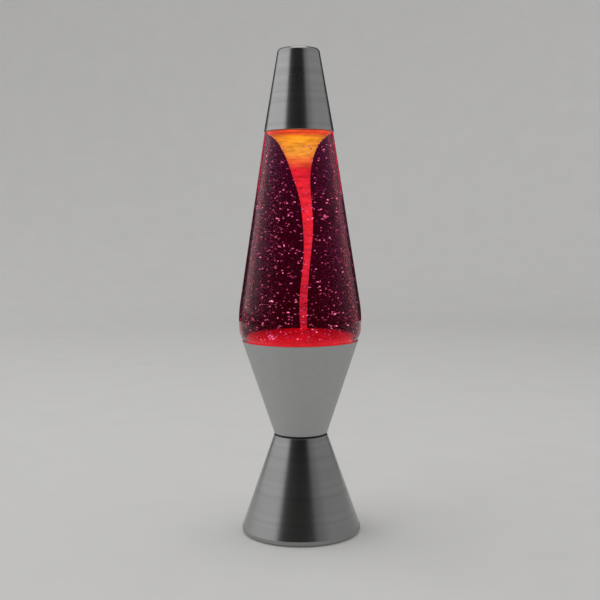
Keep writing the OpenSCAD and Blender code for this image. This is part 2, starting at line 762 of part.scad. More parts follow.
lower_cone();
base_tabs();
bottom_plate();
bottom_screws();
foot_pads();
waist_ring();
waist_screws();
upper_funnel();
inner_chassis();
motor_can();
motor_magnet_ring();
motor_end_cap();
motor_bushes();
motor_terminals();
motor_screws();
led_board();
leds();
lens_plate();
seat_ring();
driver_board();
board_screws();
board_capacitor();
board_coil();
board_chip();
wire_sockets();
power_jack();
jack_pin();
jack_nut();
switch_housing();
switch_terminals();
jack_leads();
switch_leads();
motor_leads();
led_leads();
motor_shaft();
motor_armature();
motor_windings();
magnet_carrier();
drive_magnets();
glass_globe();
liquid();
glitter();
crown_cap();
crown_liner();
stir_bar();
stir_magnet();
cap();
rocker();
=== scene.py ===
"""Vortex lamp: its spun metal, bottle, stirred red liquid and glitter, in a plain studio."""
import json
import math
import random

import bmesh
import bpy
from bpy.props import FloatProperty, FloatVectorProperty, IntProperty, PointerProperty
from mathutils import Matrix, Vector


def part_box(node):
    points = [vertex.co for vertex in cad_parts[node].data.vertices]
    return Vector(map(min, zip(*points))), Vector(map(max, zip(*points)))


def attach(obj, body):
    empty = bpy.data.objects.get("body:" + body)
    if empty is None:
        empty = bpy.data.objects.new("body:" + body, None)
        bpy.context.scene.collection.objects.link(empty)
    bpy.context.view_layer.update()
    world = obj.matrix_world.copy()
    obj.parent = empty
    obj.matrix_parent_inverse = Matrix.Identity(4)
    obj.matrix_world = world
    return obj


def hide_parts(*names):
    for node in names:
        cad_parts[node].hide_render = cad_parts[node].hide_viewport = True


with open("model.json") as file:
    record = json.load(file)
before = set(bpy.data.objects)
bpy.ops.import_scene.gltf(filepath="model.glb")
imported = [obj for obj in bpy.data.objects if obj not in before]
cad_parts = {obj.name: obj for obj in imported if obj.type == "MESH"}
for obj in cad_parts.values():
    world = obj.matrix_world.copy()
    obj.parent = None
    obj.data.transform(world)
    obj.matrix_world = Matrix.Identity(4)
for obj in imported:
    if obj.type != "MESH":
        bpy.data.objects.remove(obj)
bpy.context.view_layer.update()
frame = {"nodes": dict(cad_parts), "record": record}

bl_info = {
    "name": "Vortex Lamp",
    "version": (1, 0, 0),
    "blender": (4, 5, 0),
    "location": "3D View > Sidebar > Vortex Lamp",
    "description": "Builds the visible pieces of a vortex lamp round its CAD frame",
    "category": "Object",
}

MM = 0.001

# Heights and radii read from the frame, in millimetres
CAP_RIM_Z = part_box("cap")[0].z / MM
TOP_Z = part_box("cap")[1].z / MM
CAP_RIM_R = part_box("cap")[1].x / MM
FUNNEL_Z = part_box("upper_funnel")[0].z / MM
RIM_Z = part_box("upper_funnel")[1].z / MM
RIM_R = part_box("upper_funnel")[1].x / MM
GLOBE_FLOOR_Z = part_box("glass_globe")[0].z / MM
MOUTH_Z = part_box("glass_globe")[1].z / MM
BULGE_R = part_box("glass_globe")[1].x / MM
LIQUID_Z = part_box("liquid")[1].z / MM

# Shape of the bottle, in millimetres: heel, seat on the rim, bulge, straight taper, shoulder, neck, finish
HEEL_R = 6.0
HEEL_CENTRE_R = 26.6
SEAT_R = 43.35
BULGE_Z = 164.0
TAPER = 0.1551
TAPER_Z = 177.2
TAPER_R = BULGE_R - TAPER * (TAPER_Z - BULGE_Z) / 2
SHOULDER_Z = 307.4
SHOULDER_R = TAPER_R - TAPER * (SHOULDER_Z - TAPER_Z)
NECK_R = 12.4
NECK_Z = 332.0
FINISH_R = 13.2
FINISH_H = 6.0
BORE_R = 8.5
WAIST_R = 20.7
FUNNEL_LEAN = math.atan((RIM_R - WAIST_R) / (RIM_Z - FUNNEL_Z))
TAPER_HEIGHTS = (200, 230, 260, 290)

# Shape of the cap: radius lost per millimetre of height, and the round at its top
CAP_TAPER = 0.1766
CAP_ROUND = 3.0

# Painted pool of light low in the bottle: its top on the axis, its reach, and how far its edge drops
GLOW_TOP_Z = 158.5
GLOW_R = 42.0
GLOW_DROP = 8.5

# Heights between which the glitter floats, its distance from the glass, and the streams that carry it
GLITTER_Z = (124.0, 296.0)
FLAKE_GAP = 1.2
STREAMS = 9

# Studio: radius of the flat floor, round of the cove, and top of its wall, in millimetres
FLOOR_R = 1600
COVE_ROUND = 900
COVE_TOP = 4000

# Camera, in metres and degrees
CAMERA_PLACE = (0.0, -0.763, 0.2425)
CAMERA_AIM = (0.0, 0.0, 0.179)
CAMERA_ROLL = -0.34


def linear(code):
    """Linear colour of an sRGB hex code."""
    parts = [int(code[i : i + 2], 16) / 255 for i in (0, 2, 4)]
    return tuple(p / 12.92 if p <= 0.04045 else ((p + 0.055) / 1.055) ** 2.4 for p in parts)


def colour_of(code):
    """The same with alpha 1, as a colour socket takes it."""
    return (*linear(code), 1.0)


# ---- Shapes ----


def arc(centre_r, centre_z, radius, start, end, steps):
    """Points of an arc in the profile's plane, angles in degrees from straight out."""
    turns = [math.radians(start + (end - start) * i / steps) for i in range(steps + 1)]
    return [(centre_r + radius * math.cos(t), centre_z + radius * math.sin(t)) for t in turns]


def cubic(a, b, c, d, steps):
    """Points of a cubic curve from a to d, with b and c as its handles."""
    points = []
    for i in range(steps + 1):
        t = i / steps
        s = 1 - t
        weights = (s * s * s, 3 * s * s * t, 3 * s * t * t, t * t * t)
        points.append(tuple(sum(w * p[k] for w, p in zip(weights, (a, b, c, d))) for k in (0, 1)))
    return points


def smoothstep(value):
    """0 below 0, 1 above 1, and an even curve between."""
    value = min(max(value, 0.0), 1.0)
    return value * value * (3 - 2 * value)


def finish_mesh(name, bm, sharp=35.0):
    """Make an object of a bmesh, with outward normals and smooth faces that part at sharp edges."""
    bmesh.ops.remove_doubles(bm, verts=bm.verts, dist=1e-7)
    bmesh.ops.recalc_face_normals(bm, faces=bm.faces)
    mesh = bpy.data.meshes.new(name)
    bm.to_mesh(mesh)
    bm.free()
    for polygon in mesh.polygons:
        polygon.use_smooth = True
    mesh.set_sharp_from_angle(angle=math.radians(sharp))
    made = bpy.data.objects.new(name, mesh)
    bpy.context.scene.collection.objects.link(made)
    return made


def lathe(bm, profile, steps=192, centre=(0.0, 0.0), closed=False):
    """Turn a profile of (radius, height) in millimetres about an upright line."""
    rings = []
    for radius, height in profile:
        if radius < 1e-6:
            rings.append([bm.verts.new((centre[0] * MM, centre[1] * MM, height * MM))])
            continue
        ring = []
        for k in range(steps):
            angle = math.tau * k / steps
            x = centre[0] + radius * math.cos(angle)
            y = centre[1] + radius * math.sin(angle)
            ring.append(bm.verts.new((x * MM, y * MM, height * MM)))
        rings.append(ring)
    pairs = list(zip(rings, rings[1:]))
    if closed:
        pairs.append((rings[-1], rings[0]))
    for lower, upper in pairs:
        if len(lower) == 1 and len(upper) == 1:
            continue
        for k in range(steps):
            n = (k + 1) % steps
            if len(lower) == 1:
                bm.faces.new((lower[0], upper[n], upper[k]))
            elif len(upper) == 1:
                bm.faces.new((lower[k], lower[n], upper[0]))
            else:
                bm.faces.new((lower[k], lower[n], upper[n], upper[k]))


def turned(name, profile, steps=192, closed=False, sharp=35.0):
    """One turned piece."""
    bm = bmesh.new()
    lathe(bm, profile, steps, closed=closed)
    return finish_mesh(name, bm, sharp)


def bulge_at(height):
    """Outside radius of the bottle between the rim and the start of its straight taper."""
    if height < BULGE_Z:
        return BULGE_R - (BULGE_R - SEAT_R) * ((BULGE_Z - height) / (BULGE_Z - RIM_Z)) ** 4
    return BULGE_R - TAPER * (height - BULGE_Z) ** 2 / (2 * (TAPER_Z - BULGE_Z))


def taper_at(height):
    """Outside radius of the bottle on its straight taper."""
    return TAPER_R - TAPER * (height - TAPER_Z)


def bulge_points(inset, steps=36):
    """The bulge, moved in by inset."""
    heights = [RIM_Z + (TAPER_Z - RIM_Z) * i / steps for i in range(steps + 1)]
    return [(bulge_at(z) - inset, z) for z in heights]


def bottle_inside(inset, wall, floor):
    """Inside of the bottle from its floor to the top of the bulge."""
    floor_z = GLOBE_FLOOR_Z + floor
    round_r = 4
    heel = arc(HEEL_CENTRE_R, floor_z + round_r, round_r - inset, -90, -math.degrees(FUNNEL_LEAN), 10)
    return [(0, floor_z + inset)] + heel + bulge_points(wall + inset)


def vortex_radius(depth):
    """Radius of the funnel in the liquid, depth millimetres under its surface."""
    thread_r = 2
    return thread_r + 8.35 * math.exp((12 - depth) / 22) + 5.6 * math.exp(-depth / 3.2)


def vortex_centre(depth, curl):
    """Where the funnel's centre line has wandered to, depth millimetres down."""
    away = smoothstep((depth - 10) / 45)
    turn = math.tau * (depth - 50) / 115
    return (away * (4.4 + 2 * math.sin(turn)) * curl, 1.6 * away * math.cos(turn) * curl)


# ---- Materials ----


def add(tree, kind, settings=None, inputs=None, ramp=None):
    """Add one node with its settings, input values or links, and colour stops."""
    made = tree.nodes.new(kind)
    for key, value in (settings or {}).items():
        setattr(made, key, value)
    for key, value in (inputs or {}).items():
        if isinstance(value, bpy.types.NodeSocket):
            tree.links.new(value, made.inputs[key])
        else:
            made.inputs[key].default_value = value
    if ramp:
        stops = made.color_ramp.elements
        while len(stops) < len(ramp):
            stops.new(1.0)
        for stop, (place, value) in zip(stops, ramp):
            stop.position = place
            stop.color = value
    return made


def start_material(name, viewport):
    """An empty material with its output node."""
    material = bpy.data.materials.new(name)
    material.use_nodes = True
    material.node_tree.nodes.clear()
    material.diffuse_color = colour_of(viewport)
    return material, material.node_tree, add(material.node_tree, "ShaderNodeOutputMaterial")


def grey(value):
    """A grey colour stop."""
    return (value, value, value, 1.0)


def spun_metal(name, light, dark, line_mm, roughness, anisotropy, dullness):
    """Metal turned on a lathe: rings of line_mm round the axis, which stretch each reflection upright."""
    material, tree, out = start_material(name, light)
    place = add(tree, "ShaderNodeTexCoord")
    axes = add(tree, "ShaderNodeSeparateXYZ", inputs={0: place.outputs["Object"]})
    flat = add(tree, "ShaderNodeCombineXYZ", inputs={"X": axes.outputs["X"], "Y": axes.outputs["Y"]})
    radius = add(tree, "ShaderNodeVectorMath", {"operation": "LENGTH"}, {0: flat.outputs[0]})
    along = add(tree, "ShaderNodeMath", {"operation": "SUBTRACT"},
                {0: axes.outputs["Z"], 1: radius.outputs["Value"]})
    rings = add(tree, "ShaderNodeTexNoise", {"noise_dimensions": "1D"},
                {"W": along.outputs[0], "Scale": 1 / (line_mm * MM), "Detail": 3.0, "Roughness": 0.6})
    broad = add(tree, "ShaderNodeTexNoise", {"noise_dimensions": "1D"},
                {"W": along.outputs[0], "Scale": 1 / (14 * line_mm * MM), "Detail": 2.0})
    smudge = add(tree, "ShaderNodeTexNoise", inputs={
        "Vector": place.outputs["Object"], "Scale": 38.0, "Detail": 4.0, "Roughness": 0.55})
    mixed = add(tree, "ShaderNodeMath", {"operation": "MULTIPLY_ADD"},
                {0: rings.outputs[0], 1: 0.6, 2: broad.outputs[0]})
    tone = add(tree, "ShaderNodeValToRGB", inputs={0: mixed.outputs[0]},
               ramp=[(0.5, colour_of(dark)), (1.0, colour_of(light))])
    gloss = add(tree, "ShaderNodeMapRange", inputs={
        "Value": smudge.outputs[0], "From Min": 0.3, "From Max": 0.7,
        "To Min": roughness, "To Max": roughness + dullness})
    bump = add(tree, "ShaderNodeBump", inputs={
        "Height": rings.outputs[0], "Strength": 0.05, "Distance": 0.01 * MM})
    tangent = add(tree, "ShaderNodeTangent", {"direction_type": "RADIAL", "axis": "Z"})
    shader = add(tree, "ShaderNodeBsdfPrincipled", inputs={
        "Base Color": tone.outputs[0], "Metallic": 1.0, "Roughness": gloss.outputs[0],
        "Anisotropic": anisotropy, "Anisotropic Rotation": 0.25,
        "Normal": bump.outputs[0], "Tangent": tangent.outputs[0]})
    tree.links.new(shader.outputs[0], out.inputs["Surface"])
    return material


def grained(name, light, dark, grain_mm, metallic, roughness, gloss_change, bump_mm, glow=None):
    """A plain finish with a grain: moulded, blasted, plated, coated or sintered.

    A glow is its colour and its strength.
    """
    material, tree, out = start_material(name, light)
    place = add(tree, "ShaderNodeTexCoord")
    grain = add(tree, "ShaderNodeTexNoise", inputs={
        "Vector": place.outputs["Object"], "Scale": 1 / (grain_mm * MM), "Detail": 3.0, "Roughness": 0.6})
    patch = add(tree, "ShaderNodeTexNoise", inputs={
        "Vector": place.outputs["Object"], "Scale": 1 / (18 * grain_mm * MM), "Detail": 2.0})
    mixed = add(tree, "ShaderNodeMath", {"operation": "MULTIPLY_ADD"},
                {0: grain.outputs[0], 1: 0.4, 2: patch.outputs[0]})
    tone = add(tree, "ShaderNodeValToRGB", inputs={0: mixed.outputs[0]},
               ramp=[(0.5, colour_of(dark)), (0.9, colour_of(light))])
    gloss = add(tree, "ShaderNodeMapRange", inputs={
        "Value": patch.outputs[0], "From Min": 0.3, "From Max": 0.7,
        "To Min": roughness, "To Max": roughness + gloss_change})
    bump = add(tree, "ShaderNodeBump", inputs={
        "Height": grain.outputs[0], "Strength": 0.5, "Distance": bump_mm * MM})
    inputs = {"Base Color": tone.outputs[0], "Metallic": metallic,
              "Roughness": gloss.outputs[0], "Normal": bump.outputs[0]}
    if glow:
        inputs.update({"Emission Color": colour_of(glow[0]), "Emission Strength": glow[1]})
    shader = add(tree, "ShaderNodeBsdfPrincipled", inputs=inputs)
    tree.links.new(shader.outputs[0], out.inputs["Surface"])
    return material


def blown_glass(glow, strength):
    """Clear soda-lime glass, blown in a mould: faintly wavy, with a painted red glow given off inside its
    wall that stands in for light carried up from the base.

    The dark specular tint keeps the studio from veiling the liquid.
    """
    material, tree, out = start_material("soda_lime_glass_blown", "F4FAF6")
    place = add(tree, "ShaderNodeTexCoord")
    wave = add(tree, "ShaderNodeTexNoise", inputs={
        "Vector": place.outputs["Object"], "Scale": 1 / (22 * MM), "Detail": 1.0})
    bump = add(tree, "ShaderNodeBump", inputs={
        "Height": wave.outputs[0], "Strength": 0.15, "Distance": 0.12 * MM})
    shader = add(tree, "ShaderNodeBsdfPrincipled", inputs={
        "Base Color": colour_of("F9FCFA"), "Roughness": 0.02, "IOR": 1.5, "Specular Tint": grey(0.03),
        "Transmission Weight": 1.0, "Normal": bump.outputs[0]})
    tree.links.new(shader.outputs[0], out.inputs["Surface"])
    # Painted glow: the glass gives off red light through its whole volume, though it is no lamp
    painted_wall_glow = add(tree, "ShaderNodeEmission", inputs={"Color": (*glow, 1.0), "Strength": strength})
    tree.links.new(painted_wall_glow.outputs[0], out.inputs["Volume"])
    return material


def dyed_liquid(look):
    """Clear water and glycol with a purple-red dye: deep colour where it is thick."""
    material, tree, out = start_material("dyed_water_glycol", "5A0C24")
    shader = add(tree, "ShaderNodeBsdfPrincipled", inputs={
        "Base Color": colour_of("FFFFFF"), "Roughness": 0.0, "IOR": 1.35, "Specular Tint": grey(0.0),
        "Transmission Weight": 1.0})
    depth = add(tree, "ShaderNodeVolumeAbsorption", inputs={
        "Color": (*look.dye, 1.0), "Density": look.dye_strength})
    tree.links.new(shader.outputs[0], out.inputs["Surface"])
    tree.links.new(depth.outputs[0], out.inputs["Volume"])
    return material


def glow_height(radius):
    """Top of the painted pool of light over the base's lights, radius millimetres from the axis."""
    return GLOW_TOP_Z - GLOW_DROP * (radius / GLOW_R) ** 2.2


def painted_glow_surface(name, stops, low_mm, high_mm, strength, streak_mm, streak_depth, radial=False):
    """Painted glow on the stirred liquid: colour given off by height or radius, broken by fine ripples."""
    material, tree, out = start_material(name, "F03C2A")
    place = add(tree, "ShaderNodeTexCoord")
    axes = add(tree, "ShaderNodeSeparateXYZ", inputs={0: place.outputs["Object"]})
    flat = add(tree, "ShaderNodeCombineXYZ", inputs={"X": axes.outputs["X"], "Y": axes.outputs["Y"]})
    radius = add(tree, "ShaderNodeVectorMath", {"operation": "LENGTH"}, {0: flat.outputs[0]})
    height = add(tree, "ShaderNodeMapRange", inputs={
        "Value": radius.outputs["Value"] if radial else axes.outputs["Z"],
        "From Min": low_mm * MM, "From Max": high_mm * MM})
    tone = add(tree, "ShaderNodeValToRGB", inputs={0: height.outputs[0]}, ramp=stops)
    squeezed = add(tree, "ShaderNodeMapping", inputs={
        "Vector": place.outputs["Object"], "Scale": (0.25, 0.25, 1.0)})
    streaks = add(tree, "ShaderNodeTexNoise", inputs={
        "Vector": squeezed.outputs[0], "Scale": 1 / (streak_mm * MM), "Detail": 3.0, "Roughness": 0.65})
    level = add(tree, "ShaderNodeMapRange", inputs={
        "Value": streaks.outputs[0], "From Min": 0.35, "From Max": 0.62,
        "To Min": strength * (1 - streak_depth), "To Max": strength})
    shader = add(tree, "ShaderNodeBsdfPrincipled", inputs={
        "Base Color": tone.outputs[0], "Roughness": 0.25,
        "Emission Color": tone.outputs[0], "Emission Strength": level.outputs[0]})
    tree.links.new(shader.outputs[0], out.inputs["Surface"])
    return material


def foil_glitter(look):
    """Metallised polyester glitter with painted glints: the flakes give off pink light, some weakly, in place
    of the base's light caught through the liquid.
    """
    material, tree, out = start_material("metallised_polyester_glitter", "E06090")
    place = add(tree, "ShaderNodeTexCoord")
    painted_glint_spots = add(tree, "ShaderNodeTexNoise", inputs={
        "Vector": place.outputs["Object"], "Scale": 1 / (6 * MM), "Detail": 2.0})
    # Painted glints: each flake gives off pink light, strong or weak by noise, though it is no lamp
    level = add(tree, "ShaderNodeMapRange", inputs={
        "Value": painted_glint_spots.outputs[0], "From Min": 0.38, "From Max": 0.68,
        "To Min": 0.25, "To Max": look.flake_glow})
    tone = add(tree, "ShaderNodeValToRGB", inputs={0: painted_glint_spots.outputs[0]},
               ramp=[(0.35, colour_of("C8285A")), (0.7, colour_of("EA86A2"))])
    shader = add(tree, "ShaderNodeBsdfPrincipled", inputs={
        "Base Color": colour_of("6A1230"), "Metallic": 0.3, "Roughness": 0.45,
        "Emission Color": tone.outputs[0], "Emission Strength": level.outputs[0]})
    tree.links.new(shader.outputs[0], out.inputs["Surface"])
    return material


def wear(obj, material):
    """Give a piece its one material."""
    obj.data.materials.clear()
    obj.data.materials.append(material)


def piece(obj, body, slot_name, material, *nodes):
    """Tie a new piece to its body, its material and the CAD nodes that it stands for; its slot name is not
    used.
    """
    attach(obj, body)
    if nodes:
        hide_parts(*nodes)
    wear(obj, material)
    return obj


# ---- What a user may change ----


class LampMetal(bpy.types.PropertyGroup):
    """Sheet metal of the cap and cones."""

    cap_wall: FloatProperty(
        name="Cap wall", description="Sheet thickness of the cap, mm", default=0.5, min=0.3, max=0.8)
    line: FloatProperty(
        name="Turning line", description="Spacing of the turning lines, mm", default=0.45, min=0.1, max=2.0)


class LampLiquid(bpy.types.PropertyGroup):
    """The bottle and its contents."""

    glass_wall: FloatProperty(
        name="Glass wall", description="Thickness of the glass, mm", default=2.5, min=1.5, max=3.0)
    glass_floor: FloatProperty(
        name="Glass floor", description="Thickness of the bottle's floor, mm", default=4.0, min=3.0, max=5.0)
    dye: FloatVectorProperty(
        name="Dye", description="Colour that the dye lets through", subtype="COLOR", default=linear("B300A8"))
    dye_strength: FloatProperty(
        name="Dye strength", description="How strongly the dye colours, per metre",
        default=95.0, min=10.0, max=400.0)
    # The wall glow is painted light given off inside the glass, standing in for light carried up from the
    # base
    wall_glow: FloatVectorProperty(
        name="Wall glow", description="Colour of the light carried in the glass", subtype="COLOR",
        default=linear("FF273F"))
    wall_glow_strength: FloatProperty(
        name="Wall glow strength", description="Light given off inside the glass, per metre",
        default=9.0, min=0.0, max=100.0)
    curl: FloatProperty(
        name="Vortex curl", description="How far the vortex wanders from the axis", subtype="FACTOR",
        default=0.75, min=0.0, max=1.2)
    vortex_depth: FloatProperty(
        name="Vortex depth", description="Depth of the vortex, mm", default=175.0, min=160.0, max=176.0)


class LampGlitter(bpy.types.PropertyGroup):
    """Flakes in the liquid."""

    count: IntProperty(name="Flakes", description="Number of flakes", default=2500, min=100, max=4000)
    settled: IntProperty(
        name="Settled flakes", description="Number of flakes low over the lights",
        default=110, min=0, max=600)
    size: FloatProperty(
        name="Flake size", description="Width of a flake across its flats, mm", default=1.0, min=0.3, max=2.0)
    # The flake glow is painted light that the flakes give off themselves
    flake_glow: FloatProperty(
        name="Flake glow", description="Brightness of a lit flake", default=2.3, min=0.0, max=10.0)
    seed: IntProperty(name="Seed", description="Arrangement of the flakes", default=7, min=0, max=999)


class LampStage(bpy.types.PropertyGroup):
    """Lights and camera."""

    key: FloatProperty(
        name="Left light", description="Power of the left softbox", subtype="POWER",
        default=40.0, min=0.0, max=400.0)
    fill: FloatProperty(
        name="Right light", description="Power of the right softbox", subtype="POWER",
        default=7.8, min=0.0, max=400.0)
    top: FloatProperty(
        name="Top light", description="Power of the overhead softbox", subtype="POWER",
        default=3.8, min=0.0, max=200.0)
    strip: FloatProperty(
        name="Strip lights", description="Power of each strip light behind the bottle", subtype="POWER",
        default=9.0, min=0.0, max=100.0)
    room: FloatProperty(
        name="Room light", description="Brightness of the room", default=0.265, min=0.0, max=2.0)
    lens: FloatProperty(
        name="Lens", description="Focal length of the camera", unit="CAMERA",
        default=60.0, min=20.0, max=200.0)


# ---- Pieces ----


class LAMP_OT_cap(bpy.types.Operator):
    """Spun cap over the bottle's neck"""

    bl_idname = "lamp.cap"
    bl_label = "Cap"

    def execute(self, context):
        look = context.scene.lamp_metal
        wall = look.cap_wall
        lean = math.atan(CAP_TAPER)
        corner_z = TOP_Z - CAP_ROUND
        slope_r = CAP_RIM_R - CAP_TAPER * (corner_z + CAP_ROUND * math.sin(lean) - CAP_RIM_Z)
        corner_r = slope_r - CAP_ROUND * math.cos(lean)
        rises = [t * (corner_z - CAP_RIM_Z) for t in (0.012, 0.2, 0.4, 0.6, 0.8, 0.98)]
        side = [(CAP_RIM_R - CAP_TAPER * rise, CAP_RIM_Z + rise) for rise in rises]
        # The rim is rounded over the sheet's thickness
        half = wall / 2
        profile = arc(CAP_RIM_R - half - 0.01, CAP_RIM_Z + half + 0.01, half, -180, 0, 8) + side
        profile += arc(corner_r, corner_z, CAP_ROUND, math.degrees(lean), 90, 14)
        profile += [(corner_r * 0.5, TOP_Z), (0, TOP_Z), (0, TOP_Z - wall), (corner_r * 0.5, TOP_Z - wall)]
        profile += arc(corner_r, corner_z, CAP_ROUND - wall, 90, math.degrees(lean), 14)
        profile += [(r - wall, z) for r, z in reversed(side)]
        cap = turned("cap_shell", profile[:-1], 256, closed=True)
        # Spun aluminium, polished with the lathe still turning: upright bands of light and dark
        metal = spun_metal("aluminium_spun_cap", "B6B7B6", "A8A9A8", look.line,
                           roughness=0.27, anisotropy=0.45, dullness=0.03)
        piece(cap, "cap", "spun_aluminium", metal, "cap")
        return {"FINISHED"}


class LAMP_OT_cones(bpy.types.Operator):
    """Lower cone and upper funnel"""

    bl_idname = "lamp.cones"
    bl_label = "Cones"

    def execute(self, context):
        look = context.scene.lamp_metal
        # Spun aluminium, left as it came off the tool: upright bands, as on the cap
        brushed = spun_metal("aluminium_spun_base", "A6A7A6", "9A9B9A", look.line,
                             roughness=0.28, anisotropy=0.45, dullness=0.03)
        wear(frame["nodes"]["lower_cone"], brushed)
        # Satin anodised aluminium: even grey with a very fine grain
        satin = grained("aluminium_satin_anodised", "BDBEBE", "B8B9B9", 0.35, 1.0, 0.52, 0.04, 0.006)
        wear(frame["nodes"]["upper_funnel"], satin)
        return {"FINISHED"}


class LAMP_OT_bottle(bpy.types.Operator):
    """Blown glass bottle"""

    bl_idname = "lamp.bottle"
    bl_label = "Bottle"

    def execute(self, context):
        look = context.scene.lamp_liquid
        wall = look.glass_wall
        lean = math.degrees(FUNNEL_LEAN)
        outside = [(0, GLOBE_FLOOR_Z)] + arc(HEEL_CENTRE_R, GLOBE_FLOOR_Z + HEEL_R, HEEL_R, -90, -lean, 14)
        outside += bulge_points(0)
        outside += [(taper_at(z), z) for z in TAPER_HEIGHTS]
        outside += cubic((SHOULDER_R, SHOULDER_Z), (SHOULDER_R - 1.9, SHOULDER_Z + 8),
                         (NECK_R, 318), (NECK_R, NECK_Z), 28)
        outside += [(NECK_R, MOUTH_Z - FINISH_H - 0.8), (FINISH_R, MOUTH_Z - FINISH_H)]
        outside += [(FINISH_R, MOUTH_Z - 1)]
        outside += arc(FINISH_R - 1, MOUTH_Z - 1, 1, 8, 90, 8)
        inside = bottle_inside(0, wall, look.glass_floor)
        inside += [(taper_at(z) - wall, z) for z in TAPER_HEIGHTS]
        inside += cubic((SHOULDER_R - wall, SHOULDER_Z), (SHOULDER_R - wall - 1.9, SHOULDER_Z + 8),
                        (BORE_R, 316), (BORE_R, NECK_Z + 2), 28)
        inside += [(BORE_R, MOUTH_Z - 0.5), (BORE_R + 0.5, MOUTH_Z)]
        bottle = turned("bottle", outside + list(reversed(inside)), 256, sharp=40)
        glass = blown_glass(look.wall_glow, look.wall_glow_strength)
        piece(bottle, "globe", "globe_glass", glass, "glass_globe")
        return {"FINISHED"}


class LAMP_OT_liquid(bpy.types.Operator):
    """Dyed liquid, filling the bottle to its level"""

    bl_idname = "lamp.liquid"
    bl_label = "Liquid"

    def execute(self, context):
        look = context.scene.lamp_liquid
        # The liquid reaches a little into the glass, so that no air shows between them
        overlap = -0.08
        profile = bottle_inside(overlap, look.glass_wall, look.glass_floor)
        profile += [(taper_at(z) - look.glass_wall - overlap, z) for z in TAPER_HEIGHTS]
        top_r = taper_at(LIQUID_Z) - look.glass_wall - overlap
        profile += [(top_r, LIQUID_Z - 0.05), (top_r - 0.4, LIQUID_Z), (0, LIQUID_Z)]
        liquid = turned("liquid_fill", profile, 256, sharp=60)
        piece(liquid, "globe", "liquid", dyed_liquid(look), "liquid")
        return {"FINISHED"}


class LAMP_OT_vortex(bpy.types.Operator):
    """Funnel that the stirring draws down through the liquid, and a painted glow in the liquid at the rim"""

    bl_idname = "lamp.vortex"
    bl_label = "Vortex"

    def execute(self, context):
        look = context.scene.lamp_liquid
        rows, around = 620, 72
        bm = bmesh.new()
        rings = []
        for i in range(rows + 1):
            depth = 0.25 + (look.vortex_depth - 3.0) * (i / rows) ** 1.35
            radius = vortex_radius(depth)
            # Two sets of ripples run round the funnel and die away downwards
            ripple = 0.30 * math.sin(depth * 2.6 + 0.8 * math.sin(depth * 0.7)) * math.exp(-depth / 40)
            ripple += 0.16 * math.sin(depth * 5.3 + 2.0) * math.exp(-depth / 22)
            x, y = vortex_centre(depth, look.curl)
            ring = []
            for k in range(around):
                angle = math.tau * k / around
                wave = ripple * (0.75 + 0.25 * math.sin(angle + depth * 0.35))
                # Lower down the thread is a little oval, and the oval turns
                oval = 1 + 0.10 * math.sin(2 * angle + depth * 0.11) * smoothstep((depth - 20) / 60)
                r = radius * oval + wave
                place = (x + r * math.cos(angle), y + r * math.sin(angle), LIQUID_Z - depth)
                ring.append(bm.verts.new([c * MM for c in place]))
            rings.append(ring)
        for lower, upper in zip(rings, rings[1:]):
            for k in range(around):
                n = (k + 1) % around
                bm.faces.new((lower[k], lower[n], upper[n], upper[k]))
        bm.faces.new(rings[-1])
        bm.faces.new(list(reversed(rings[0])))
        skin = finish_mesh("vortex_skin", bm, 60)
        # Painted glow on the surface of the liquid round the vortex, from its foot up: red, then orange near
        # the top
        tones = ((0.0, "E75D45"), (0.6, "F3503F"), (0.83, "B52C27"), (0.865, "B56F27"), (0.90, "AF9B27"),
                 (0.965, "9B7612"), (0.985, "792710"))
        stops = [(place, colour_of(code)) for place, code in tones]
        skin_look = painted_glow_surface("liquid_surface_painted_glow", stops, LIQUID_Z - look.vortex_depth, LIQUID_Z,
                                strength=6.4, streak_mm=2.2, streak_depth=0.45)
        piece(skin, "globe", "liquid", skin_look)
        dome = [(GLOW_R * i / 24, glow_height(GLOW_R * i / 24)) for i in range(25)]
        under = [(41.0, 148.4), (39.0, 143.0), (24, 142.0), (14, 141.6), (0, 141.3)]
        dish = turned("painted_glow_layer", dome + under, 192, sharp=80)
        # Painted pool of light in the liquid over the base's lights: brightest on the axis
        stops = [(0.0, colour_of("FF1219")), (0.5, colour_of("B31016")), (1.0, colour_of("7C0D14"))]
        dish_look = painted_glow_surface("liquid_layer_painted_glow", stops, 0, GLOW_R,
                                strength=3.5, streak_mm=3.0, streak_depth=0.3, radial=True)
        piece(dish, "globe", "liquid", dish_look)
        return {"FINISHED"}


def flake(bm, rng, radius, turn, height, size, tumble):
    """Add one six-sided flake to a bmesh, lying roughly along the stream that carries it round."""
    centre = Vector((radius * math.cos(turn), radius * math.sin(turn), height)) * MM
    way = Vector((-math.sin(turn), math.cos(turn), rng.gauss(0.12, tumble))).normalized()
    out = Vector((math.cos(turn), math.sin(turn), rng.gauss(0, 0.5))).normalized()
    side = way.cross(out).normalized()
    out = side.cross(way).normalized()
    width = size * rng.uniform(0.55, 1.15) * MM
    length = width * rng.choice((1.0, 1.2, 1.6, 2.4))
    thick = 0.04 * MM
    corners = [(math.cos(math.tau * k / 6), math.sin(math.tau * k / 6)) for k in range(6)]
    ring = [centre + way * (c * length / 2) + side * (s * width / 2) for c, s in corners]
    front = [bm.verts.new(place + out * thick) for place in ring]
    back = [bm.verts.new(place - out * thick) for place in ring]
    bm.faces.new(front)
    bm.faces.new(list(reversed(back)))
    for k in range(6):
        n = (k + 1) % 6
        bm.faces.new((front[k], back[k], back[n], front[n]))


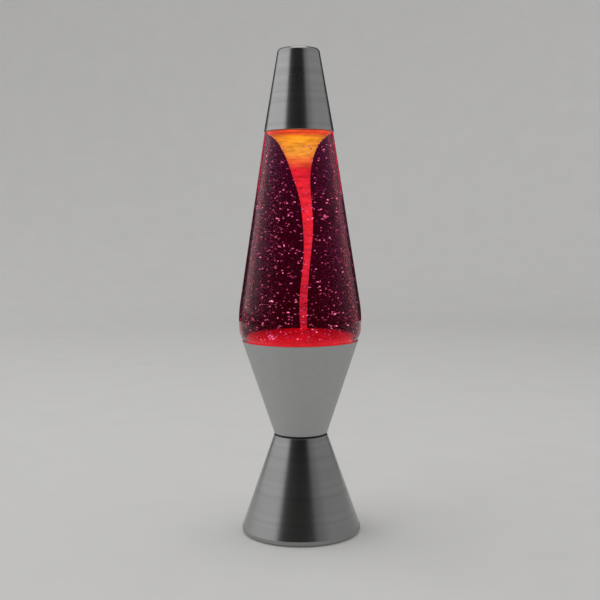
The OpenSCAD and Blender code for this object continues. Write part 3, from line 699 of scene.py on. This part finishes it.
class LAMP_OT_glitter(bpy.types.Operator):
    """Glitter carried round by the liquid in rising and falling streams"""

    bl_idname = "lamp.glitter"
    bl_label = "Glitter"

    def execute(self, context):
        look = context.scene.lamp_glitter
        wall = context.scene.lamp_liquid.glass_wall
        rng = random.Random(look.seed)
        bm = bmesh.new()
        low, high = GLITTER_Z
        made = 0
        while made < look.count:
            height = low + (high - low) * rng.random() ** 1.35
            # The flakes thin out round the wide mouth of the vortex
            if height > high - 32 and rng.random() < 0.6:
                continue
            if height < RIM_Z:
                inside = SEAT_R - (RIM_Z - height) * math.tan(FUNNEL_LEAN) - FLAKE_GAP
            elif height < TAPER_Z:
                inside = bulge_at(height)
            else:
                inside = taper_at(height)
            inside -= wall + FLAKE_GAP
            # Most flakes are out by the glass, clear of the vortex on the axis
            radius = 6 + (inside - 6) * rng.random() ** 0.3
            stream = rng.randrange(STREAMS)
            turn = math.tau * stream / STREAMS + 0.030 * (height - low) + rng.gauss(0, 0.22)
            turn += 1.1 * radius / 40
            if rng.random() < 0.45:
                turn = math.tau * rng.random()
            flake(bm, rng, radius, turn, height, look.size, 0.18)
            made += 1
        for _ in range(look.settled):
            radius = 12 + 27 * rng.random() ** 0.7
            turn = math.tau * rng.random()
            height = glow_height(radius) + 0.5 + 0.8 * rng.random()
            flake(bm, rng, radius, turn, height, look.size * 0.8, 0.05)
        flakes = finish_mesh("glitter_flakes", bm, 20)
        piece(flakes, "globe", "glitter", foil_glitter(look), "glitter")
        return {"FINISHED"}


class LAMP_OT_inner_parts(bpy.types.Operator):
    """Finishes of the pieces inside the base and under the cap"""

    bl_idname = "lamp.inner_parts"
    bl_label = "Inner parts"

    def execute(self, context):
        # Each finish: name, light and dark tone, grain in mm, metallic, roughness and its change, bump in mm
        finishes = {
            # Zinc-plated steel: light blue-grey, slightly cloudy
            "steel": grained("steel_zinc_plated", "B4B8BA", "9A9EA2", 0.5, 1.0, 0.32, 0.12, 0.01),
            # Nickel-plated steel: bright, with soft marks from tumbling
            "plated_steel": grained("steel_nickel_plated", "CFCBC2", "BDB9B1", 0.4, 1.0, 0.18, 0.1, 0.006),
            # Moulded ABS: matt black with a fine spark-eroded grain
            "black_plastic": grained("abs_moulded_black", "1E1E1F", "121213", 0.35, 0.0, 0.48, 0.12, 0.02),
            # Moulded nylon: off-white, slightly waxy
            "white_plastic": grained("nylon_moulded_white", "E9E7DF", "DAD7CD", 0.4, 0.0, 0.42, 0.1, 0.012),
            # Moulded polycarbonate: glossy red
            "red_plastic": grained(
                "polycarbonate_moulded_red", "B01418", "960E12", 0.9, 0.0, 0.16, 0.08, 0.004),
            # Moulded rubber: dark and dull
            "rubber": grained("rubber_moulded_dark", "2A2A2A", "1C1C1C", 0.6, 0.0, 0.72, 0.15, 0.03),
            # Moulded silicone: grey, dull, slightly soft-looking
            "silicone": grained("silicone_moulded_grey", "5E5F61", "4C4D4F", 0.8, 0.0, 0.55, 0.1, 0.01),
            # Sintered ferrite: charcoal with a gritty face
            "ferrite": grained("ferrite_sintered", "39383A", "232224", 0.25, 0.0, 0.6, 0.15, 0.03),
            # Sintered bronze: warm and porous
            "bronze": grained("bronze_sintered", "B98A52", "8C6338", 0.2, 1.0, 0.42, 0.15, 0.02),
            # Stamped brass: yellow with rolling marks
            "brass": grained("brass_stamped", "D3B063", "B8944B", 0.5, 1.0, 0.25, 0.12, 0.01),
            # White solder mask over copper: satin white
            "white_board": grained("solder_mask_white", "EDEDE8", "DEDED8", 0.8, 0.0, 0.3, 0.1, 0.01),
            # Green solder mask over glass cloth: satin green with a faint weave
            "circuit_board": grained("solder_mask_green", "14603A", "0C4528", 0.6, 0.0, 0.3, 0.12, 0.015),
            # Shrink sleeve: glossy dark blue
            "capacitor_sleeve": grained("pvc_shrink_sleeve", "20244F", "161938", 1.2, 0.0, 0.22, 0.1, 0.01),
            # Extruded PVC lead insulation: red, slightly glossy
            "lead_insulation": grained("pvc_lead_insulation", "8E1A1A", "701010", 0.9, 0.0, 0.3, 0.1, 0.008),
            # Enamelled copper wire: warm and lacquered
            "copper": grained("copper_enamelled", "C2703F", "9A5028", 0.3, 1.0, 0.28, 0.1, 0.02),
            # Nickel-plated magnet: bright
            "magnet": grained("magnet_nickel_plated", "C9C9C6", "B4B4B1", 0.6, 1.0, 0.15, 0.08, 0.004),
            # Lacquered tinplate: pale gold
            "crown_tinplate": grained(
                "tinplate_lacquered_gold", "D5B66A", "C0A056", 0.7, 1.0, 0.22, 0.1, 0.006),
            # Clear resin over a lit chip: a bright warm point
            "led": grained("led_resin_lit", "FFD8B0", "FFC090", 0.8, 0.0, 0.2, 0.1, 0.004, ("FF9A5A", 6.0)),
            # Frosted acrylic, lit from under: even warm light
            "frosted_lens": grained(
                "acrylic_frosted_lit", "FFE0CC", "F8D0B8", 0.5, 0.0, 0.55, 0.1, 0.02, ("FF7A50", 0.9)),
        }
        dressed = {"lower_cone", "upper_funnel", "cap", "glass_globe", "liquid", "glitter"}
        for part in frame["record"]["subparts"]:
            if part["node"] in dressed or part["material_slot"] not in finishes:
                continue
            wear(frame["nodes"][part["node"]], finishes[part["material_slot"]])
        return {"FINISHED"}


class LAMP_OT_stage(bpy.types.Operator):
    """Pale floor, soft studio lights and the camera"""

    bl_idname = "lamp.stage"
    bl_label = "Stage"

    def softbox(self, name, place, aim, size, power, tint):
        """Rectangular area light that the camera itself doesn't see."""
        lamp = bpy.data.lights.new(name, "AREA")
        lamp.shape = "RECTANGLE"
        lamp.size, lamp.size_y = size
        lamp.energy = power
        lamp.color = linear(tint)
        holder = bpy.data.objects.new(name, lamp)
        holder.location = place
        holder.rotation_euler = (Vector(aim) - Vector(place)).to_track_quat("-Z", "Y").to_euler()
        holder.visible_camera = False
        bpy.context.scene.collection.objects.link(holder)
        return holder

    def black_cloth(self, name, place, size, cloth):
        """Upright black cloth facing the lamp, seen only in what shines."""
        bm = bmesh.new()
        upright = Matrix.Rotation(math.pi / 2, 4, "X") @ Matrix.Diagonal((*size, 1.0, 1.0))
        spread = Matrix.Translation(place) @ upright
        bmesh.ops.create_grid(bm, x_segments=2, y_segments=2, size=0.5, matrix=spread)
        hung = finish_mesh(name, bm)
        wear(hung, cloth)
        hung.visible_camera = False
        hung.visible_shadow = False
        hung.visible_diffuse = False
        hung.visible_transmission = False

    def execute(self, context):
        look = context.scene.lamp_stage
        bm = bmesh.new()
        lathe(bm, [(0, 0), (400, 0), (FLOOR_R, 0)], 128)
        floor = finish_mesh("floor", bm)
        # Opal acrylic lit from under: pale and even, so that the shadow stays soft
        board = grained(
            "acrylic_opal_backlit", "F7F6F4", "F4F3F1", 3.0, 0.0, 0.9, 0.05, 0.02, ("FFFFFF", 0.05))
        wear(floor, board)
        bm = bmesh.new()
        lathe(bm, arc(FLOOR_R, COVE_ROUND, COVE_ROUND, -90, 0, 24) + [(FLOOR_R + COVE_ROUND, COVE_TOP)], 128)
        cove = finish_mesh("cove", bm)
        wear(cove, board)
        # Only the camera sees the cove, so that the softboxes outside it reach the lamp
        cove.visible_glossy = False
        cove.visible_transmission = False
        cove.visible_diffuse = False
        cove.visible_shadow = False
        self.softbox("softbox_left", (-2.7, 0.25, 1.85), (0, 0.25, 0.5), (6.3, 3.8), look.key, "FFFFFF")
        self.softbox("softbox_right", (2.7, 0.35, 1.85), (0, 0.35, 0.5), (5.4, 3.8), look.fill, "FFFFFF")
        # Strip lights seen only through the liquid, as a red line down each side of the bottle
        for side, name in ((-1, "strip_left"), (1, "strip_right")):
            place = (side * 1.02, 0.64, 0.5)
            strip = self.softbox(name, place, (0, 0, 0.24), (0.35, 1.4), look.strip, "FF5040")
            strip.visible_diffuse = False
            strip.visible_glossy = False
        self.softbox("softbox_top", (0.0, 0.1, 1.6), (0, 0, 0.2), (0.9, 0.9), look.top, "FFFFFF")
        # Black cloths: the front one gives the metal its dark upright band, the back one darkens its edges
        cloth = grained("cloth_black", "0A0A0A", "060606", 1.0, 0.0, 0.9, 0.05, 0.01)
        self.black_cloth("black_cloth_front", (-0.38, -1.4, 1.4), (2.3, 3.6), cloth)
        self.black_cloth("black_cloth_back", (0.0, 1.5, 1.2), (2.6, 3.2), cloth)
        world = bpy.data.worlds.new("studio")
        world.use_nodes = True
        room = world.node_tree.nodes["Background"]
        room.inputs["Color"].default_value = colour_of("FFFFFF")
        room.inputs["Strength"].default_value = look.room
        context.scene.world = world
        context.scene.view_settings.view_transform = "Standard"
        eye = bpy.data.cameras.new("camera")
        eye.lens = look.lens
        eye.sensor_width = 36.0
        holder = bpy.data.objects.new("camera", eye)
        holder.location = CAMERA_PLACE
        facing = (Vector(CAMERA_AIM) - Vector(CAMERA_PLACE)).to_track_quat("-Z", "Y").to_matrix().to_4x4()
        holder.rotation_euler = (facing @ Matrix.Rotation(math.radians(CAMERA_ROLL), 4, "Z")).to_euler()
        context.scene.collection.objects.link(holder)
        context.scene.camera = holder
        return {"FINISHED"}


class LAMP_PT_panel(bpy.types.Panel):
    """Everything that builds the lamp"""

    bl_idname = "LAMP_PT_panel"
    bl_label = "Vortex Lamp"
    bl_space_type = "VIEW_3D"
    bl_region_type = "UI"
    bl_category = "Vortex Lamp"

    def draw(self, context):
        for name, _ in GROUPS:
            box = self.layout.box()
            settings = getattr(context.scene, name)
            for key in settings.__annotations__:
                box.prop(settings, key)
        for operator in OPERATORS:
            self.layout.operator(operator.bl_idname)


GROUPS = (("lamp_metal", LampMetal), ("lamp_liquid", LampLiquid), ("lamp_glitter", LampGlitter),
          ("lamp_stage", LampStage))
OPERATORS = (LAMP_OT_stage, LAMP_OT_inner_parts, LAMP_OT_cones, LAMP_OT_cap, LAMP_OT_bottle, LAMP_OT_liquid,
             LAMP_OT_vortex, LAMP_OT_glitter)


def register():
    """Register the classes and hang the settings on the scene."""
    for made in (*(group for _, group in GROUPS), *OPERATORS, LAMP_PT_panel):
        bpy.utils.register_class(made)
    for name, group in GROUPS:
        setattr(bpy.types.Scene, name, PointerProperty(type=group))


def unregister():
    """Take the settings and the classes away again."""
    for name, _ in GROUPS:
        delattr(bpy.types.Scene, name)
    for made in (LAMP_PT_panel, *reversed(OPERATORS), *(group for _, group in GROUPS)):
        bpy.utils.unregister_class(made)


def main():
    """Build every piece."""
    register()
    for operator in OPERATORS:
        group, name = operator.bl_idname.split(".")
        getattr(getattr(bpy.ops, group), name)()


if __name__ == "__main__":
    main()
